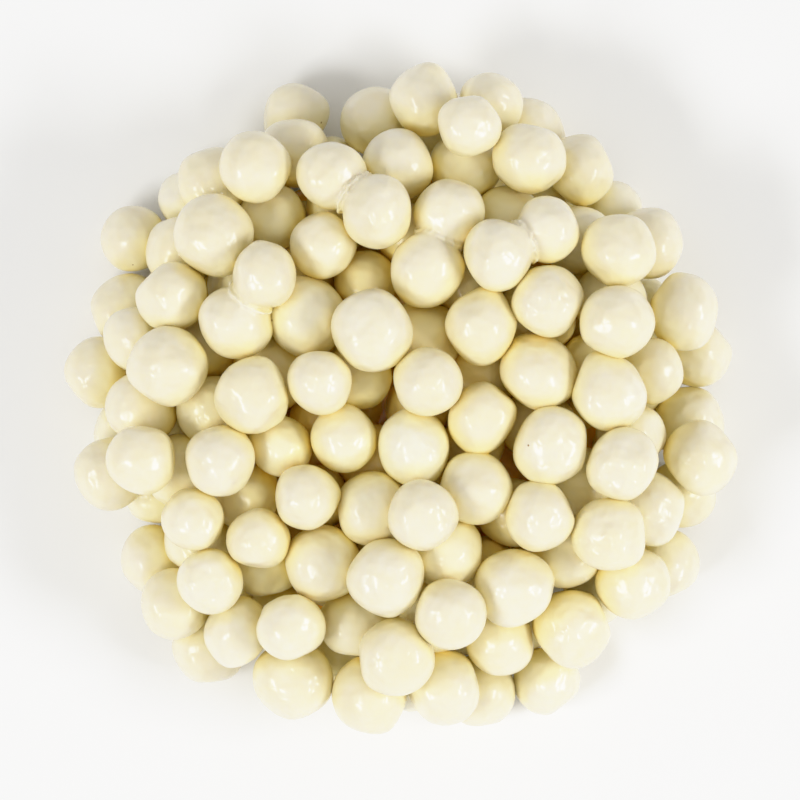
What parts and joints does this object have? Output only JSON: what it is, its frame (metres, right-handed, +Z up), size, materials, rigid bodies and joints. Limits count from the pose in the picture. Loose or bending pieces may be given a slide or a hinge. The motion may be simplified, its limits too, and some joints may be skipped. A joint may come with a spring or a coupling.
{
  "type": "heap of sugar pearl sprinkles",
  "caption": "Low loose heap of cream-white sugar pearl sprinkles, slightly uneven glossy candy balls, some grown together in pairs, for decorating cakes and desserts.",
  "frame": {"origin": "on the table under the middle of the heap's outline", "axes": "+Z up from the table; +X to the right and +Y to the top of the picture, which looks straight down"},
  "size_m": [0.047, 0.0467, 0.0158],
  "materials": {
    "sugar_pearl": "polished cream-white sugar candy, slightly translucent, with soft highlights"
  },
  "bodies": {
    "root": {"pearl_heap": "sugar_pearl"}
  },
  "joints": []
}
